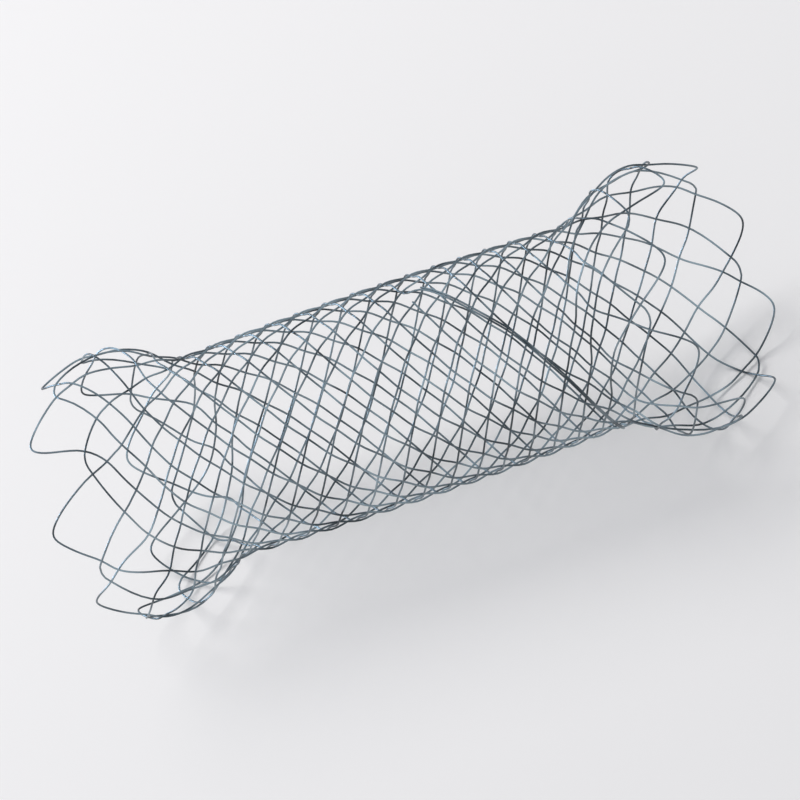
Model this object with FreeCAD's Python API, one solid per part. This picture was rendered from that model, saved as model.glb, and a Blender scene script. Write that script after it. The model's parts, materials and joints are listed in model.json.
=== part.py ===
import FreeCAD, Part
import math
import os

# Self-expanding stent for the bowel, woven from one wire (millimetres).
# The axis lies along +X and +Z is up. The stent rests on its two flared ends, and the
# origin is under its middle. The wire winds round the axis the same way all along: it
# runs out towards +X, turns in a rounded loop, runs back towards -X and turns again.
# Outward and return passes cross on rings round the axis, over and under by turns, and
# the rings lie a little closer together towards +X. Long and short loops alternate round
# each mouth, and one short loop of the -X mouth is drawn back with the weave round it.
# The wire's last stretch leaves the weave, runs on over it to the +X neck and is folded
# back on itself there.

# Driving dimensions
wire_d = 0.22             # drawn wire
body_d = 24.0             # over the wires at the middle of the body
neck_d = 23.1             # over the wires where the body meets each flare
flare_d = 30.7            # over the wires at the widest place of each flare
mouth_d = 27.0            # over the wires at the tips of the long loops
body_length = 46.6        # from neck to neck
lead = 54.2               # length of body in which a pass goes once round
crowding = 1.5            # length by which the middle of the weave is pushed towards +X
flare_rise = 9.8          # from the neck to the widest place
flare_pitch = 1.7         # from ring to ring in the flares, up to the third from the loops
short_cross = 9.2         # from the neck to where the legs of two short loops cross
long_cross = 10.7         # from the neck to where the legs of two long loops cross
last_cross = 12.4         # from the neck to the last crossings, of a long and a short loop
short_tip = 12.9          # from the neck to the tip of a short loop
long_tip = 16.1           # from the neck to the tip of a long loop
draw = 4.0                # length by which one short loop is drawn back
wire_gap = 0.08           # clearance between wires that cross or lie side by side
fold_gap = 0.12           # clearance between the folded end and the weave under it
first_turn = 177.6        # degrees from +Y to where the first pass starts, before a flare turns it

# Counts, and places in half cells round the axis
strands = 16              # passes each way, an even number
left_steps = 6.5          # crossing rings from the corners of the -X loops to the neck
right_steps = 7           # crossing rings from the neck to the corners of the +X loops
pinch = 0.5               # half cells by which the last crossings close in on a short loop
twist_left = -0.7         # half cells by which the -X flare is turned against the body
twist_right = -0.4        # half cells by which the +X flare is turned against the body
sharpness = 1.6           # power of the curve of a loop: 2 is a parabola, 1 a point
drawn_step = -3.8         # half cells from the first pass's loop to the middle of the drawn weave
draw_spread = 2.7         # half cells over which the weave round that place follows
draw_lean = -0.35         # half cells by which the drawn loop leans round the axis
draw_shares = [1, 1, 0.3, 0.25, 0.1]  # how far each ring follows it, from the last ring inwards
cut_steps = 11            # rings from where the folded end leaves the weave to the +X neck
long_shares = [-2 / 3, -1 / 3, 0, 1 / 3, 2 / 3]  # points round a long loop, by its half width
short_shares = [-0.5, 0, 0.5]                    # points round a short loop

# The folded end as rings along and half cells round, counted from where it leaves the weave
fold_line = [(1.6, 0.4), (3.3, 1.2), (5.6, 2.6), (6.9, 3.4), (8.3, 4.3), (9.6, 5.5), (10.5, 6.6),
             (11.2, 7.7), (11.6, 8.8), (11.8, 9.9), (11.8, 11.0), (11.6, 12.1)]

# Worked-out sizes
side = wire_d * math.sqrt(math.pi) / 2      # square wire with the area of the round one
lift = (wire_d + wire_gap) / 2              # distance of a woven wire from the woven surface
half_body = body_length / 2
body_r = body_d / 2 - lift - side / 2
neck_r = neck_d / 2 - lift - side / 2
flare_r = flare_d / 2 - lift - side / 2
mouth_r = mouth_d / 2 - side / 2
half_cell = math.pi / strands               # turn about the axis from one ring to the next


def ring_count():
    """Rings from mouth to mouth, chosen so that a single wire makes the whole weave."""
    count = round(left_steps + body_length / (lead / (2 * strands)) + right_steps)
    while math.gcd(count, strands) != 1:
        count += 1
    return count


last_ring = ring_count()
steps_body = last_ring - left_steps - right_steps
cut_ring = last_ring - right_steps - cut_steps


def station(ring):
    """Place along the axis of a ring, counted from the corners of the -X loops."""
    along = ring - left_steps
    if along < 0:
        return -half_body + along * flare_pitch
    if along > steps_body:
        return half_body + (along - steps_body) * flare_pitch
    share = along / steps_body
    return body_length * (share - 0.5) + crowding * math.sin(math.pi * share)


def rise(beyond):
    """How much of its full width or turn a flare has at a length beyond the neck."""
    return (1 - math.cos(math.pi * min(max(beyond / flare_rise, 0), 1))) / 2


def surface_radius(x):
    """Radius of the woven surface: a slightly waisted body with a rounded flare at each end."""
    beyond = abs(x) - half_body
    if beyond <= 0:
        return body_r - (body_r - neck_r) * (x / half_body) ** 2
    if beyond < flare_rise:
        return neck_r + (flare_r - neck_r) * rise(beyond)
    fall = (beyond - flare_rise) / (long_tip - flare_rise)
    return flare_r - (flare_r - mouth_r) * (1 - math.cos(math.pi / 2 * fall))


def surface_point(x, step, height):
    """A point at a height over the woven surface, and the outward normal there."""
    twist = twist_left if x < 0 else twist_right
    turn = math.radians(first_turn) + (step + twist * rise(abs(x) - half_body)) * half_cell
    reach = wire_d / 10
    slope = (surface_radius(x + reach) - surface_radius(x - reach)) / (2 * reach)
    out = FreeCAD.Vector(-slope, math.cos(turn), math.sin(turn)).normalize()
    r = surface_radius(x)
    return FreeCAD.Vector(x, r * math.cos(turn), r * math.sin(turn)) + out * height, out


def drawn(x, step, share):
    """Axis place and half cells of a point once the weave of the -X mouth is drawn back."""
    if x > 0:
        return x, step
    away = (step - drawn_step + strands) % (2 * strands) - strands
    share *= math.exp(-(away / draw_spread) ** 2)
    return x + share * draw, step + share * draw_lean


def loop(end, step, is_long):
    """The points round a loop beyond its last crossings, as axis place, half cells and height."""
    tip, shares = (long_tip, long_shares) if is_long else (short_tip, short_shares)
    wide = 1 + pinch if is_long else 1 - pinch
    points = []
    for share in shares:
        fall = abs(share) ** sharpness
        x = end * (half_body + tip - (tip - last_cross) * fall)
        place = drawn(x, step + share * wide, fall if is_long else 1)
        points.append((*place, -share * lift))
    return points


def halfway(a, b):
    """The point in the middle of two."""
    return tuple((p + q) / 2 for p, q in zip(a, b))


def crossings(rings, way, step, from_long, to_long):
    """The crossings of one pass, of which the last few by each loop depend on its kind."""
    points = []
    for number, ring in enumerate(rings, 1):
        to_go = len(rings) + 1 - number
        leaving = number < to_go
        is_long = from_long if leaving else to_long
        from_loop = min(number, to_go)
        end = 1 if ring > last_ring / 2 else -1
        x = station(ring)
        shift = 0
        if from_loop == 1:
            x = end * (half_body + last_cross)
            shift = pinch if is_long == leaving else -pinch
        elif from_loop == 2:
            x = end * (half_body + (long_cross if is_long else short_cross))
        place = (x, step + number + shift)
        if from_loop <= len(draw_shares):
            place = drawn(*place, draw_shares[from_loop - 1])
        points.append((*place, way * (-1) ** ring * lift))
    out, home = halfway(points[1], points[2]), halfway(points[-3], points[-2])
    return points[:2] + [out] + points[2:-2] + [home] + points[-2:]


def weave_points():
    """Axis place, half cells and height of each point, once round the whole weave."""
    points = []
    for number in range(strands):
        is_long = number % 2 == 1
        step = 2 * last_ring * number
        points += loop(-1, step, is_long)
        points += crossings(range(1, last_ring), 1, step, is_long, is_long)
        points += loop(1, step + last_ring, is_long)
        points += crossings(range(last_ring - 1, 0, -1), -1, step + last_ring, is_long, not is_long)
    return points


def folded_end():
    """The wire's last stretch over the weave, out to the neck and back beside itself."""
    line = [(station(cut_ring + along), cut_ring + round_by) for along, round_by in fold_line]
    ends = [(station(cut_ring), cut_ring)] + line + [line[-1]]
    out, back = [], []
    for (x0, step0), (x, step), (x1, step1) in zip(ends, line, ends[2:]):
        r = surface_radius(x)
        run = FreeCAD.Vector(x1 - x0, (step1 - step0) * half_cell * r, 0).normalize() * lift
        beside = run.x / (half_cell * r)
        height = lift + wire_d + fold_gap
        out.append((x - run.y, step + beside, height))
        back.append((x + run.y, step - beside, height))
    return out + back[::-1]


def wire_path():
    """Points and outward normals along the wire, from its plain end to its folded end."""
    points = weave_points()
    cut = next(i for i, (x, step, height) in enumerate(points) if step > cut_ring)
    points = points[cut:] + points[:cut] + folded_end()
    return [surface_point(x, step, height) for x, step, height in points]


def mitred_sections(path):
    """Corners of the square wire at each point, in the mitre between the runs that meet there."""
    points = [point for point, _ in path]
    runs = [(there - here).normalize() for here, there in zip(points, points[1:])]
    mitres = [runs[0]] + [(a + b).normalize() for a, b in zip(runs, runs[1:])] + [runs[-1]]
    across = runs[0].cross(path[0][1]).normalize() * (side / 2)
    up = across.cross(runs[0])
    corners = [points[0] - across - up, points[0] + across - up,
               points[0] + across + up, points[0] - across + up]
    sections = [corners]
    for run, mitre, point in zip(runs, mitres[1:], points[1:]):
        corners = [c + run * ((point - c).dot(mitre) / run.dot(mitre)) for c in corners]
        sections.append(corners)
    return sections


def edges_round(vertices):
    """The four edges of one section."""
    return [Part.Edge(a, b) for a, b in zip(vertices, vertices[1:] + vertices[:1])]


def woven_wire():
    """The whole wire as one solid with flat sides, each run sharing its edges with the next."""
    vertices = [[Part.Vertex(corner) for corner in corners] for corners in mitred_sections(wire_path())]
    edges = [edges_round(corners) for corners in vertices]
    faces = [Part.Face(Part.Wire(edges[0])), Part.Face(Part.Wire(edges[-1]))]
    for here, there, near, far in zip(vertices, vertices[1:], edges, edges[1:]):
        along = [Part.Edge(a, b) for a, b in zip(here, there)]
        for i in range(4):
            faces.append(Part.Face(Part.Wire([near[i], along[(i + 1) % 4], far[i], along[i]])))
    solid = Part.Solid(Part.Shell(faces))
    if solid.Volume < 0:
        solid.reverse()
    return solid


os.makedirs("parts", exist_ok=True)
wire = woven_wire()
box = wire.BoundBox
wire.translate(FreeCAD.Vector(-box.Center.x, -box.Center.y, -box.ZMin))
wire.exportStep("parts/stent_wire.step")
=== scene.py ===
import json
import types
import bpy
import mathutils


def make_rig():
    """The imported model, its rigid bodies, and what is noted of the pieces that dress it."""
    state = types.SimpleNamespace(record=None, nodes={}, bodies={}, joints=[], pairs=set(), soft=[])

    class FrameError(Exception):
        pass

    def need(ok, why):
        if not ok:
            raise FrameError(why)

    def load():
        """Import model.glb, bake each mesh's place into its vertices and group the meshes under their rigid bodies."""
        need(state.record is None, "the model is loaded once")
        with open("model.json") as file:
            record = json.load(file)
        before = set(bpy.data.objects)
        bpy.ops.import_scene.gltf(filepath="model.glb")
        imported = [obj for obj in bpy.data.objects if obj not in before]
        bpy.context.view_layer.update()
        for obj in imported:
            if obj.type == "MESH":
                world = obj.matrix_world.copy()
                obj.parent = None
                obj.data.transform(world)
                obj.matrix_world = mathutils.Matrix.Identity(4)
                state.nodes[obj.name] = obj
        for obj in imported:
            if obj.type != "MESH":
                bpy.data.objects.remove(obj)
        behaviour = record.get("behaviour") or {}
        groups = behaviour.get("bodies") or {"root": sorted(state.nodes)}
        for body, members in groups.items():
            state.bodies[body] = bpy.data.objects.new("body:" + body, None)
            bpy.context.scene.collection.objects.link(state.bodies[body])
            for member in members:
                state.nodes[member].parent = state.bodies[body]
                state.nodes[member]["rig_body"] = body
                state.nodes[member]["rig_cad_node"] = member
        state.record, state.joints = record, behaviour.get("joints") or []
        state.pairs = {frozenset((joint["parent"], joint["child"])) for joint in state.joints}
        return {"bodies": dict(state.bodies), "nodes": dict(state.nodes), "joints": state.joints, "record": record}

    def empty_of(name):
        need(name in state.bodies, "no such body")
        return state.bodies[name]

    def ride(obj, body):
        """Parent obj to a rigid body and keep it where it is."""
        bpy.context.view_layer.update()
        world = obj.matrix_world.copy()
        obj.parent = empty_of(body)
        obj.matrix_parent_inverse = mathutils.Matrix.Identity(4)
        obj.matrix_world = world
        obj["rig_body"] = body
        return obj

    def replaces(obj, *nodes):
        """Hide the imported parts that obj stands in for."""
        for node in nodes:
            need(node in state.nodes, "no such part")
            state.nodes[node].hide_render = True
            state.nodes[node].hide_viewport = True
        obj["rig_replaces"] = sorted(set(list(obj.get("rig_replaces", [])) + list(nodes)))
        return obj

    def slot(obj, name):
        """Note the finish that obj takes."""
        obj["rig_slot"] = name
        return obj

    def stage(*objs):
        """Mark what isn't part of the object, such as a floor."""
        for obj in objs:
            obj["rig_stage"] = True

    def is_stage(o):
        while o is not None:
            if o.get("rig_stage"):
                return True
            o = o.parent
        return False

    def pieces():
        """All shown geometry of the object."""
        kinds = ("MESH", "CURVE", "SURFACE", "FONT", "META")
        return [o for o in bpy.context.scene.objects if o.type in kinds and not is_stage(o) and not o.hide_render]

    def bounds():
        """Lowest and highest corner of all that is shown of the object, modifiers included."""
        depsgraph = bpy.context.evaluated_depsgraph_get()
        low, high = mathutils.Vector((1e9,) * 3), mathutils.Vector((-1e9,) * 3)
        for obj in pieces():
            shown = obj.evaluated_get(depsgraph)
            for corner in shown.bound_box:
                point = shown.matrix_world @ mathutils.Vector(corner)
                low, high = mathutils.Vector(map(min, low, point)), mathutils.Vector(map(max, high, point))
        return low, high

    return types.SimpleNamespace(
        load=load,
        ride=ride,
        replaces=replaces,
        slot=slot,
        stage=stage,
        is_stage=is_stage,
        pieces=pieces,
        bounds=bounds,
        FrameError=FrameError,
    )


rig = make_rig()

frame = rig.load()

import bpy
import math
from mathutils import Matrix, Vector


def write_bounds(label, mode):
    """The whole object's box in millimetres, as plain lines."""
    low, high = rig.bounds()
    with open("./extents.json", mode) as out:
        for axis, a, b in zip("xyz", low, high):
            out.write(f"{label} {axis} {a * 1000:.2f} {b * 1000:.2f} mm\n")


write_bounds("before", "w")

# A bowel stent woven from one wire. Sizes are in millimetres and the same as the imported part's
WIRE_D = 0.22
BODY_D, NECK_D, FLARE_D, MOUTH_D = 24.0, 23.1, 30.7, 27.0
BODY_LENGTH, CROWDING, FLARE_RISE, FLARE_PITCH = 46.6, 1.5, 9.8, 1.7
SHORT_CROSS, LONG_CROSS, LAST_CROSS = 9.2, 10.7, 12.4
SHORT_TIP, LONG_TIP = 12.9, 16.1
WIRE_GAP = 0.08           # clearance between wires that cross
FOLD_GAP = 0.12           # clearance between the folded end and the weave under it
FOLD_SLACK = 0.017        # what keeps the fold's two runs from cutting each other where they bend
AXIS_Z = 15.296           # height of the stent's axis over the surface it lies on
SLOPE_REACH = 0.02        # how far to either side the surface's slope is taken
JOIN_REACH = 0.001        # corners of the wire's two cut faces are joined to its sides within this
OXIDE_AND_SHEEN_PATCH = 5.556       # length of one stretch of lighter or darker oxide tone, the lighter ones partly painted sheen
MM = 0.001

# Counts, and places in half cells round the axis
STRANDS, LEFT_STEPS, BODY_STEPS, RIGHT_STEPS = 16, 6.5, 27.5, 7
PINCH, TWIST_LEFT, TWIST_RIGHT, SHARPNESS = 0.5, -0.7, -0.4, 1.6
LONG_SHARES = [-2 / 3, -1 / 3, 0, 1 / 3, 2 / 3]
SHORT_SHARES = [-0.5, 0, 0.5]
FIRST_TURN = math.radians(177.6)

# The short loop of the -X mouth that is drawn back, and how far each ring follows it
DRAW, DRAWN_STEP, DRAW_SPREAD, DRAW_LEAN = 4.0, -3.8, 2.7, -0.35
DRAW_SHARES = [1, 1, 0.3, 0.25, 0.1]

# Where the folded end leaves the weave, and its line in rings along and half cells round
CUT_RING = 23
FOLD_LINE = [(1.6, 0.4), (3.3, 1.2), (5.6, 2.6), (6.9, 3.4), (8.3, 4.3), (9.6, 5.5), (10.5, 6.6),
             (11.2, 7.7), (11.6, 8.8), (11.8, 9.9), (11.8, 11.0), (11.6, 12.1)]

# How finely the round wire is drawn
RUN_PIECES = 4            # pieces from one point of the weave to the next
BEND_REACH = 2            # pieces to either side over which a bend is eased
WIRE_ROUNDNESS = 3        # Blender's bevel resolution, ten faces round the wire
SMOOTH_ANGLE = math.radians(50)

# Worked-out sizes
SIDE = WIRE_D * math.sqrt(math.pi) / 2      # the part's square wire has the area of the round one
LIFT = (WIRE_D + WIRE_GAP) / 2              # distance of a woven wire from the woven surface
HALF_BODY = BODY_LENGTH / 2
BODY_R, NECK_R, FLARE_R = (d / 2 - LIFT - SIDE / 2 for d in (BODY_D, NECK_D, FLARE_D))
MOUTH_R = MOUTH_D / 2 - SIDE / 2
HALF_CELL = math.pi / STRANDS
LAST_RING = int(LEFT_STEPS + BODY_STEPS + RIGHT_STEPS)

# The photograph's camera: angles in degrees, lengths in millimetres
CAMERA_TURN, CAMERA_DOWN, CAMERA_ROLL = -30.225, 40.0, -39.494
CAMERA_DISTANCE, CAMERA_RIGHT, CAMERA_UP = 3053.5, 0.396, 0.975
PICTURE_WIDTH, PIXELS_PER_MM, SENSOR_WIDTH = 800, 9.168, 36


# The woven surface

def station(ring):
    """Place along the axis of a ring, counted from the corners of the -X loops."""
    along = ring - LEFT_STEPS
    if along < 0:
        return -HALF_BODY + along * FLARE_PITCH
    if along > BODY_STEPS:
        return HALF_BODY + (along - BODY_STEPS) * FLARE_PITCH
    share = along / BODY_STEPS
    return BODY_LENGTH * (share - 0.5) + CROWDING * math.sin(math.pi * share)


def rise(beyond):
    """How much of its full width or turn a flare has at a length beyond the neck."""
    return (1 - math.cos(math.pi * min(max(beyond / FLARE_RISE, 0), 1))) / 2


def surface_radius(x):
    """Radius of the woven surface: a slightly waisted body with a rounded flare at each end."""
    beyond = abs(x) - HALF_BODY
    if beyond <= 0:
        return BODY_R - (BODY_R - NECK_R) * (x / HALF_BODY) ** 2
    if beyond < FLARE_RISE:
        return NECK_R + (FLARE_R - NECK_R) * rise(beyond)
    fall = (beyond - FLARE_RISE) / (LONG_TIP - FLARE_RISE)
    return FLARE_R - (FLARE_R - MOUTH_R) * (1 - math.cos(math.pi / 2 * fall))


def surface_point(x, step, height):
    """A point at a height over the woven surface."""
    twist = TWIST_LEFT if x < 0 else TWIST_RIGHT
    turn = FIRST_TURN + (step + twist * rise(abs(x) - HALF_BODY)) * HALF_CELL
    slope = (surface_radius(x + SLOPE_REACH) - surface_radius(x - SLOPE_REACH)) / (2 * SLOPE_REACH)
    out = Vector((-slope, math.cos(turn), math.sin(turn))).normalized()
    r = surface_radius(x)
    return Vector((x, r * math.cos(turn), r * math.sin(turn) + AXIS_Z)) + out * height


# The wire's way through the weave

def drawn(x, step, share):
    """Axis place and half cells of a point once the weave of the -X mouth is drawn back."""
    if x > 0:
        return x, step
    away = (step - DRAWN_STEP + STRANDS) % (2 * STRANDS) - STRANDS
    share *= math.exp(-(away / DRAW_SPREAD) ** 2)
    return x + share * DRAW, step + share * DRAW_LEAN


def loop(end, step, is_long):
    """The points round a loop beyond its last crossings, as axis place, half cells and height."""
    tip, shares = (LONG_TIP, LONG_SHARES) if is_long else (SHORT_TIP, SHORT_SHARES)
    wide = 1 + PINCH if is_long else 1 - PINCH
    points = []
    for share in shares:
        fall = abs(share) ** SHARPNESS
        x = end * (HALF_BODY + tip - (tip - LAST_CROSS) * fall)
        place = drawn(x, step + share * wide, fall if is_long else 1)
        points.append((*place, -share * LIFT))
    return points


def halfway(a, b):
    """The point in the middle of two."""
    return tuple((p + q) / 2 for p, q in zip(a, b))


def crossings(rings, way, step, from_long, to_long):
    """The crossings of one pass, over and under by turns. Those nearest a loop depend on its kind."""
    points = []
    for number, ring in enumerate(rings, 1):
        to_go = len(rings) + 1 - number
        leaving = number < to_go
        is_long = from_long if leaving else to_long
        from_loop = min(number, to_go)
        end = 1 if ring > LAST_RING / 2 else -1
        x = station(ring)
        shift = 0
        if from_loop == 1:
            x = end * (HALF_BODY + LAST_CROSS)
            shift = PINCH if is_long == leaving else -PINCH
        elif from_loop == 2:
            x = end * (HALF_BODY + (LONG_CROSS if is_long else SHORT_CROSS))
        place = (x, step + number + shift)
        if from_loop <= len(DRAW_SHARES):
            place = drawn(*place, DRAW_SHARES[from_loop - 1])
        points.append((*place, way * (-1) ** ring * LIFT))
    out, home = halfway(points[1], points[2]), halfway(points[-3], points[-2])
    return points[:2] + [out] + points[2:-2] + [home] + points[-2:]


def weave_points():
    """Axis place, half cells and height of each point, once round the whole weave."""
    points = []
    for number in range(STRANDS):
        is_long = number % 2 == 1
        step = 2 * LAST_RING * number
        points += loop(-1, step, is_long)
        points += crossings(range(1, LAST_RING), 1, step, is_long, is_long)
        points += loop(1, step + LAST_RING, is_long)
        points += crossings(range(LAST_RING - 1, 0, -1), -1, step + LAST_RING, is_long, not is_long)
    return points


def folded_end(turns_before):
    """The wire's last stretch over the weave, out to the neck and back beside itself."""
    line = [(station(CUT_RING + along), CUT_RING + round_by) for along, round_by in FOLD_LINE]
    ends = [(station(CUT_RING), CUT_RING)] + line + [line[-1]]
    out, back = [], []
    for (x0, step0), (x, step), (x1, step1) in zip(ends, line, ends[2:]):
        r = surface_radius(x)
        run = Vector((x1 - x0, (step1 - step0) * HALF_CELL * r)).normalized() * (WIRE_D / 2 + FOLD_SLACK)
        beside = run.x / (HALF_CELL * r)
        height = LIFT + WIRE_D + FOLD_GAP
        out.append((x - run.y, step + beside + turns_before, height))
        back.append((x + run.y, step - beside + turns_before, height))
    return out + back[::-1]


def wire_points():
    """The whole wire, from its plain end once through the weave and on to its folded end."""
    points = weave_points()
    whole = 2 * LAST_RING * STRANDS
    cut = next(i for i, (x, step, height) in enumerate(points) if step > CUT_RING)
    around = [(x, step + whole, height) for x, step, height in points[:cut]]
    return points[cut:] + around + folded_end(whole)


def smooth(points):
    """Points along a curve through the given ones, with evenly shared tangents."""
    ends = [points[0]] + points + [points[-1]]
    curve = []
    for four in zip(ends, ends[1:], ends[2:], ends[3:]):
        for i in range(RUN_PIECES):
            t = i / RUN_PIECES
            weights = (-t ** 3 + 2 * t * t - t, 3 * t ** 3 - 5 * t * t + 2,
                       -3 * t ** 3 + 4 * t * t + t, t ** 3 - t * t)
            curve.append(tuple(sum(w * v for w, v in zip(weights, values)) / 2 for values in zip(*four)))
    return curve + [points[-1]]


def eased(curve):
    """The curve with its bends rounded as a springy wire's are, and its heights kept."""
    soft = []
    for i, (x, step, height) in enumerate(curve):
        inside = BEND_REACH <= i < len(curve) - BEND_REACH
        near = curve[i - BEND_REACH:i + BEND_REACH + 1] if inside else [curve[i]]
        soft.append((sum(p[0] for p in near) / len(near), sum(p[1] for p in near) / len(near), height))
    return soft


def woven_wire():
    """The round wire: a line through the weave is given the wire's thickness and made a mesh."""
    line = bpy.data.curves.new("stent_wire_round", "CURVE")
    line.dimensions = "3D"
    line.twist_mode = "MINIMUM"
    line.bevel_depth = WIRE_D / 2 * MM
    line.bevel_resolution = WIRE_ROUNDNESS
    line.use_fill_caps = True
    path = [surface_point(*place) * MM for place in eased(smooth(wire_points()))]
    spline = line.splines.new("POLY")
    spline.points.add(len(path) - 1)
    for point, place in zip(spline.points, path):
        point.co = (*place, 1)
    wire = bpy.data.objects.new("stent_wire_round", line)
    bpy.context.scene.collection.objects.link(wire)
    bpy.ops.object.select_all(action="DESELECT")
    wire.select_set(True)
    bpy.context.view_layer.objects.active = wire
    bpy.ops.object.convert(target="MESH")
    bpy.ops.object.mode_set(mode="EDIT")
    bpy.ops.mesh.select_all(action="SELECT")
    bpy.ops.mesh.remove_doubles(threshold=JOIN_REACH * MM)
    bpy.ops.mesh.normals_make_consistent(inside=False)
    bpy.ops.object.mode_set(mode="OBJECT")
    bpy.ops.object.shade_smooth_by_angle(angle=SMOOTH_ANGLE)
    return bpy.context.object


# Colours and materials

def linear(code):
    """Linear colour of an sRGB hex code."""
    values = [int(code[i:i + 2], 16) / 255 for i in (1, 3, 5)]
    return tuple(v / 12.92 if v <= 0.04045 else ((v + 0.055) / 1.055) ** 2.4 for v in values) + (1,)


def node(tree, kind, x, y, **values):
    """A new node at a place in the tree, with its settings and socket values."""
    made = tree.nodes.new(kind)
    made.location = (x, y)
    for name, value in values.items():
        if hasattr(made, name):
            setattr(made, name, value)
        else:
            made.inputs[name.replace("_", " ")].default_value = value
    return made


def nitinol_material():
    """Nickel titanium wire, cold drawn and heat set, which leaves a thin blue-grey oxide on it."""
    # The eye gets a dark satin metal that takes the pale room's blue, in darker and lighter
    # stretches. These are partly the oxide's own shade and partly painted sheen, the lighter ones
    # standing in for glints. Real oxide changes its shade within about a millimetre along the wire,
    # which is too fine to show, so it is drawn in stretches of OXIDE_AND_SHEEN_PATCH.
    material = bpy.data.materials.new("nitinol_wire")
    material.use_nodes = True
    tree = material.node_tree
    shader = tree.nodes["Principled BSDF"]
    shader.inputs["Metallic"].default_value = 1.0
    coords = node(tree, "ShaderNodeTexCoord", -900, 0)
    # The shift puts darker stretches along the folded end: painted shade there.
    shift = node(tree, "ShaderNodeMapping", -800, 0, Location=(0.0, 0.03, 0.0))
    oxide_and_sheen_patches = node(tree, "ShaderNodeTexNoise", -600, 0, Scale=1 / (OXIDE_AND_SHEEN_PATCH * MM), Detail=2.0)
    tint = node(tree, "ShaderNodeValToRGB", -450, 0)
    dark, light = tint.color_ramp.elements
    # The lighter colour is partly painted sheen over the oxide's own tone.
    dark.position, dark.color = 0.38, linear("#4C5256")
    light.position, light.color = 0.68, linear("#97A3A9")
    rough = node(tree, "ShaderNodeMapRange", -450, -260, To_Min=0.32, To_Max=0.45)
    tree.links.new(coords.outputs["Object"], shift.inputs["Vector"])
    tree.links.new(shift.outputs["Vector"], oxide_and_sheen_patches.inputs["Vector"])
    tree.links.new(oxide_and_sheen_patches.outputs["Fac"], tint.inputs["Fac"])
    tree.links.new(oxide_and_sheen_patches.outputs["Fac"], rough.inputs["Value"])
    tree.links.new(tint.outputs["Color"], shader.inputs["Base Color"])
    tree.links.new(rough.outputs["Result"], shader.inputs["Roughness"])
    return material


def paper_material():
    """Uncoated white paper, pressed flat."""
    # The eye gets a plain pale ground with no shine, on which the wire's shadow lies soft.
    material = bpy.data.materials.new("pale_paper")
    material.use_nodes = True
    shader = material.node_tree.nodes["Principled BSDF"]
    shader.inputs["Base Color"].default_value = linear("#F0EFF0")
    shader.inputs["Roughness"].default_value = 0.9
    shader.inputs["Specular IOR Level"].default_value = 0.1
    return material


# Stage, light and camera

def add_floor():
    """The sheet of paper that the stent lies on, far wider than the picture."""
    bpy.ops.mesh.primitive_plane_add(size=1.2, location=(0, 0, 0))
    floor = bpy.context.object
    floor.name = "floor"
    floor.data.materials.append(paper_material())
    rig.stage(floor)


def add_light(name, place, target, size, watts, colour):
    """A round soft lamp at a place, turned to a target."""
    data = bpy.data.lights.new(name, "AREA")
    data.shape = "DISK"
    data.size = size
    data.energy = watts
    data.color = linear(colour)[:3]
    lamp = bpy.data.objects.new(name, data)
    bpy.context.scene.collection.objects.link(lamp)
    lamp.location = place
    lamp.rotation_euler = (Vector(target) - Vector(place)).to_track_quat("-Z", "Y").to_euler()
    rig.stage(lamp)
    return lamp


def add_lights():
    """Soft light from the far left, with a little from the near side and a cool glint along the wire."""
    # The key and the side lamp light the paper and leave no glare on the wire
    key = add_light("soft_key", (-0.44, 0.58, 0.96), (0, 0, 0.01), 0.9, 10.5, "#FFFDFA")
    key.visible_glossy = False
    side = add_light("side_fill", (-0.36, 0.1, 0.28), (0, 0, 0), 0.4, 0.54, "#FAFBFF")
    side.visible_glossy = False
    add_light("front_fill", (0.3, -0.5, 0.36), (0, 0, 0), 0.4, 0.62, "#F6FAFF")
    # The low lamp only glints on the metal, and casts no shadow of its own on the paper
    rim = add_light("rim_light", (-0.6, 0.33, 0.065), (0, 0, 0.015), 0.12, 1.5, "#BFE0FF")
    rim.visible_diffuse = False


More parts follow.
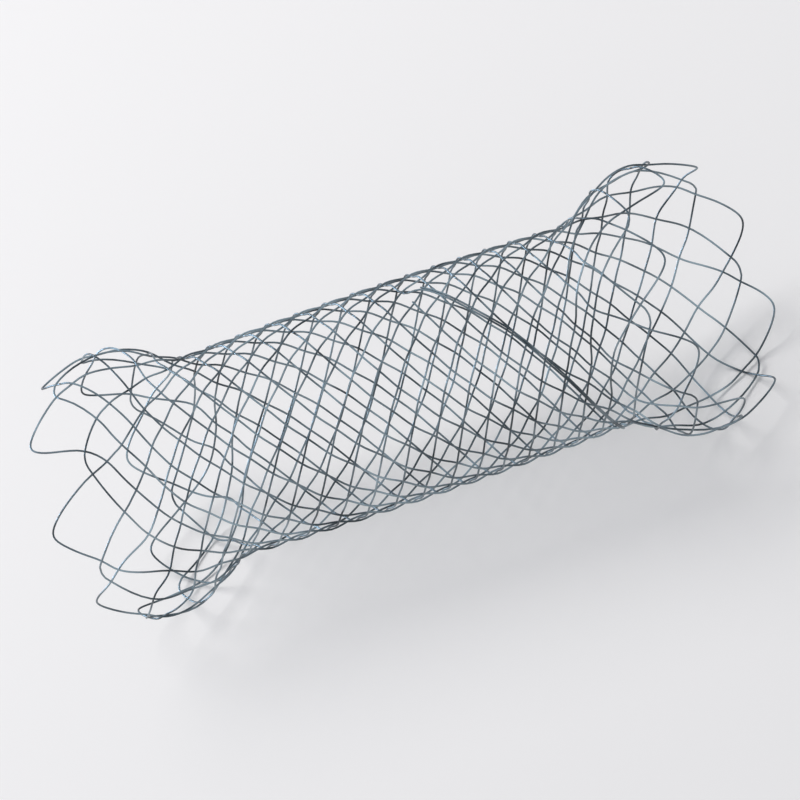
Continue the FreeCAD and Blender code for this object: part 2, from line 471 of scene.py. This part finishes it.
def add_world():
    """A dim even light all round, a white wall for the camera, and a pale blue room for the metal."""
    world = bpy.data.worlds.new("studio")
    bpy.context.scene.world = world
    world.use_nodes = True
    tree = world.node_tree
    back = tree.nodes["Background"]
    back.inputs["Color"].default_value = linear("#EEF2F8")
    back.inputs["Strength"].default_value = 0.3
    wall = node(tree, "ShaderNodeBackground", 0, -150, Color=linear("#F0F0F2"), Strength=0.95)
    room = node(tree, "ShaderNodeBackground", 200, -150, Color=linear("#DAE8F2"), Strength=1.0)
    path = node(tree, "ShaderNodeLightPath", 0, 300)
    with_wall = node(tree, "ShaderNodeMixShader", 200, 0)
    with_room = node(tree, "ShaderNodeMixShader", 400, 0)
    tree.links.new(path.outputs["Is Camera Ray"], with_wall.inputs["Fac"])
    tree.links.new(back.outputs["Background"], with_wall.inputs[1])
    tree.links.new(wall.outputs["Background"], with_wall.inputs[2])
    tree.links.new(path.outputs["Is Glossy Ray"], with_room.inputs["Fac"])
    tree.links.new(with_wall.outputs["Shader"], with_room.inputs[1])
    tree.links.new(room.outputs["Background"], with_room.inputs[2])
    tree.links.new(with_room.outputs["Shader"], tree.nodes["World Output"].inputs["Surface"])


def add_camera():
    """The camera of the photograph: far off, looking down on the near +X end, and rolled."""
    turn, down, roll = (math.radians(a) for a in (CAMERA_TURN, CAMERA_DOWN, CAMERA_ROLL))
    level = Vector((math.cos(turn), -math.sin(turn), 0))
    away = Vector((math.sin(turn), math.cos(turn), 0))
    ahead = away * math.cos(down) - Vector((0, 0, math.sin(down)))
    upright = away * math.sin(down) + Vector((0, 0, math.cos(down)))
    right = level * math.cos(roll) + upright * math.sin(roll)
    up = upright * math.cos(roll) - level * math.sin(roll)
    place = Vector((0, 0, AXIS_Z)) - ahead * CAMERA_DISTANCE - right * CAMERA_RIGHT - up * CAMERA_UP
    data = bpy.data.cameras.new("photo_camera")
    data.sensor_width = SENSOR_WIDTH
    data.lens = PIXELS_PER_MM * CAMERA_DISTANCE / PICTURE_WIDTH * SENSOR_WIDTH
    data.clip_start, data.clip_end = 0.1, 20
    camera = bpy.data.objects.new("photo_camera", data)
    bpy.context.scene.collection.objects.link(camera)
    camera.matrix_world = Matrix.Translation(place * MM) @ Matrix((right, up, -ahead)).transposed().to_4x4()
    bpy.context.scene.camera = camera


wire = woven_wire()
wire.data.materials.append(nitinol_material())
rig.ride(wire, "root")
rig.replaces(wire, "stent_wire")
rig.slot(wire, "nitinol_wire")

add_floor()
add_lights()
add_world()
add_camera()
bpy.context.scene.view_settings.view_transform = "Standard"

write_bounds("after", "a")
